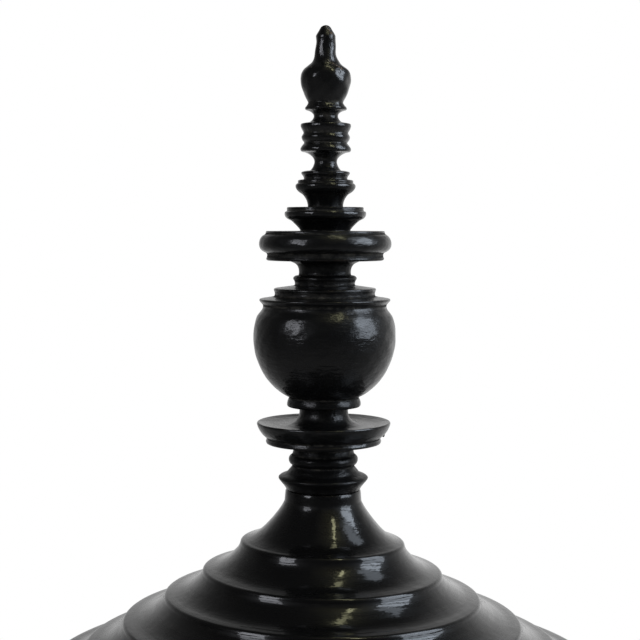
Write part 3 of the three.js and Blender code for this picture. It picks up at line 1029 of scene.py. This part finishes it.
ROOM_CENTRE = (0, 0, 0.45)
ROOM_RADIUS = 4.5
ROOM_COLUMNS = 64
ROOM_ROWS = 16
APRON_INNER = 0.16  # the dark apron on the floor stays clear of the vessel's foot
APRON_RISE = 1.5 * MM
BACKDROP_WAY = (0.28, 0.96, 0)  # where the room is open towards the white backdrop
BACKDROP_SINK = 0.35  # how much sooner the opening ends upwards than sideways
BACKDROP_SPAN = (0.2, 1.0)
BACKDROP_SHARE = 0.58
HAZE_SPAN = (-0.3, 0.5, 0.0, 0.14)
HAZE_RISE_SPAN = (0.9, 0.2)
ROOM_LEVEL_SPAN = (0.0, -0.7, 0.025, 0.16)  # how far down, and how bright the room is there
PAINTED_CEILING_GLOW_WAY = (0.36, -0.48, 0.8)  # the way in which a painted glow stands in for the ceiling lit by its lamps
PAINTED_CEILING_GLOW_SPAN = (0.82, 0.98)
PAINTED_CEILING_GLOW_LEVEL = 0.1
PAINTED_CEILING_GLOW_COLOR = (1, 0.93, 0.6, 1)


def make_painted_reflection_room():
    """A dark dome and floor apron that only gloss sees, glowing as a painted reflection of the room, thinning
    out towards the white backdrop.
    """
    rows = [(APRON_INNER, APRON_RISE), (ROOM_RADIUS, APRON_RISE)]
    rises = [math.pi / 2 * row / ROOM_ROWS for row in range(1, ROOM_ROWS)]
    rows += [(ROOM_RADIUS * math.cos(rise), ROOM_RADIUS * math.sin(rise)) for rise in rises]
    turns = [2 * math.pi * column / ROOM_COLUMNS for column in range(ROOM_COLUMNS)]
    spots = [(r * math.cos(turn), r * math.sin(turn), z) for r, z in rows for turn in turns]
    spots.append((0, 0, ROOM_RADIUS))
    faces = []
    for row in range(len(rows) - 1):
        for column in range(ROOM_COLUMNS):
            ahead = (column + 1) % ROOM_COLUMNS
            low, high = row * ROOM_COLUMNS, (row + 1) * ROOM_COLUMNS
            faces.append((low + column, low + ahead, high + ahead, high + column))
    top = (len(rows) - 1) * ROOM_COLUMNS
    for column in range(ROOM_COLUMNS):
        faces.append((top + column, top + (column + 1) % ROOM_COLUMNS, len(spots) - 1))
    room = stage_mesh("painted_reflection_room", spots, faces)

    n = Nodes("painted_reflection_room")
    way = n.vector_math("NORMALIZE", n.vector_math("SUBTRACT", n.place, ROOM_CENTRE))
    toward = n.vector_math("DOT_PRODUCT", way, BACKDROP_WAY)
    up = n.split(way)[2]
    lift = n.times(n.math("MAXIMUM", up, 0.0), BACKDROP_SINK)
    near_backdrop = n.range(n.math("SUBTRACT", toward, lift), *BACKDROP_SPAN)
    glow = n.times(n.times(near_backdrop, near_backdrop), BACKDROP_SHARE)
    haze = n.times(n.range(toward, *HAZE_SPAN), n.range(up, *HAZE_RISE_SPAN))
    # Painted light: a warm glow on the dome where the ceiling lamps would light the ceiling
    painted_ceiling_glow = n.range(n.vector_math("DOT_PRODUCT", way, PAINTED_CEILING_GLOW_WAY), *PAINTED_CEILING_GLOW_SPAN)
    # The dome's glow: a painted reflection of the room's dim walls and floor
    dark = n.new("ShaderNodeEmission")
    n.link(n.plus(n.range(up, *ROOM_LEVEL_SPAN), n.times(painted_ceiling_glow, PAINTED_CEILING_GLOW_LEVEL)), dark.inputs["Strength"])
    n.link(n.mix(painted_ceiling_glow, WHITE, PAINTED_CEILING_GLOW_COLOR), dark.inputs["Color"])
    clear = n.new("ShaderNodeBsdfTransparent")
    blend_into(n.tree, "Material Output", n.plus(glow, haze), dark.outputs[0], clear.outputs[0])
    n.tree.nodes.remove(n.shader)
    room.data.materials.append(n.material)
    room.visible_camera = False
    room.visible_diffuse = False
    room.visible_transmission = False
    room.visible_shadow = False


AIM = Vector((0, 0, 0.45))
WINDOW_DISTANCE = 2.4
CEILING_RISE = 1.3  # of the lamps over the aim
TUBE_WIDTH = 0.1


def area_light(name, place, facing, size, radiance, color):
    data = bpy.data.lights.new(name, "AREA")
    data.shape = "RECTANGLE"
    data.size, data.size_y = size
    data.color = color
    data.energy = radiance * math.pi * size[0] * size[1]
    lamp = placed(name, data)
    lamp.location = place
    lamp.rotation_mode = "QUATERNION"
    lamp.rotation_quaternion = facing


def window(name, azimuth, elevation, radiance, color):
    """A window over spans of azimuth, from the back towards the right, and of elevation, in degrees."""
    turn = math.radians(sum(azimuth) / 2)
    rise = math.radians(sum(elevation) / 2)
    toward = Vector((math.sin(turn) * math.cos(rise), math.cos(turn) * math.cos(rise), math.sin(rise)))
    halves = [math.radians((high - low) / 2) for low, high in (azimuth, elevation)]
    size = [2 * WINDOW_DISTANCE * math.tan(half) for half in halves]
    facing = toward.to_track_quat("Z", "Y")
    area_light(name, AIM + toward * WINDOW_DISTANCE, facing, size, radiance, color)


def ceiling_tube(name, start, end, radiance, color):
    """A lamp along the ceiling between two places given as shares of its height over the aim."""
    start, end = [AIM + CEILING_RISE * Vector((*place, 1)) for place in (start, end)]
    run = end - start
    facing = Matrix.Rotation(math.atan2(run.y, run.x), 4, "Z").to_quaternion()
    area_light(name, (start + end) / 2, facing, (run.length, TUBE_WIDTH), radiance, color)


WINDOW_BLUE = (0.79, 0.88, 1.0)
WINDOW_PALE = (0.9, 0.92, 1.0)
TUBE_YELLOW = (1.0, 0.98, 0.6)

make_floor()
make_world()
make_painted_reflection_room()
window("right_pane_low", (88, 124), (4, 17), 4.0, WINDOW_BLUE)
window("right_pane_middle", (90, 121), (20, 30), 6.5, WINDOW_BLUE)
window("right_pane_high", (86, 115), (33, 45), 5.5, WINDOW_BLUE)
window("right_pane_top", (73, 102), (47, 58), 1.8, WINDOW_BLUE)
window("left_pane_low", (-140, -121), (9, 23), 4.5, WINDOW_PALE)
window("left_pane_high", (-139, -119), (27, 36), 3.5, WINDOW_PALE)
ceiling_tube("front_tube", (0.46, -0.62), (0.27, -0.24), 6.5, TUBE_YELLOW)
ceiling_tube("back_tube", (0.24, -0.12), (0.07, 0.32), 3.0, TUBE_YELLOW)


# Camera

CAMERA_PLACE = (-0.00265, -0.893, 0.5654)
CAMERA_PITCH = math.radians(3.814)
CAMERA_ROLL = math.radians(0.4)
LENS = 81
SENSOR = 36


def make_camera():
    data = bpy.data.cameras.new("camera")
    data.lens = LENS
    data.sensor_width = SENSOR
    camera = placed("camera", data)
    turn = Matrix.Rotation(math.pi / 2 - CAMERA_PITCH, 4, "X") @ Matrix.Rotation(CAMERA_ROLL, 4, "Z")
    camera.matrix_world = Matrix.Translation(CAMERA_PLACE) @ turn
    bpy.context.scene.camera = camera


make_camera()
bpy.context.scene.view_settings.view_transform = "Standard"
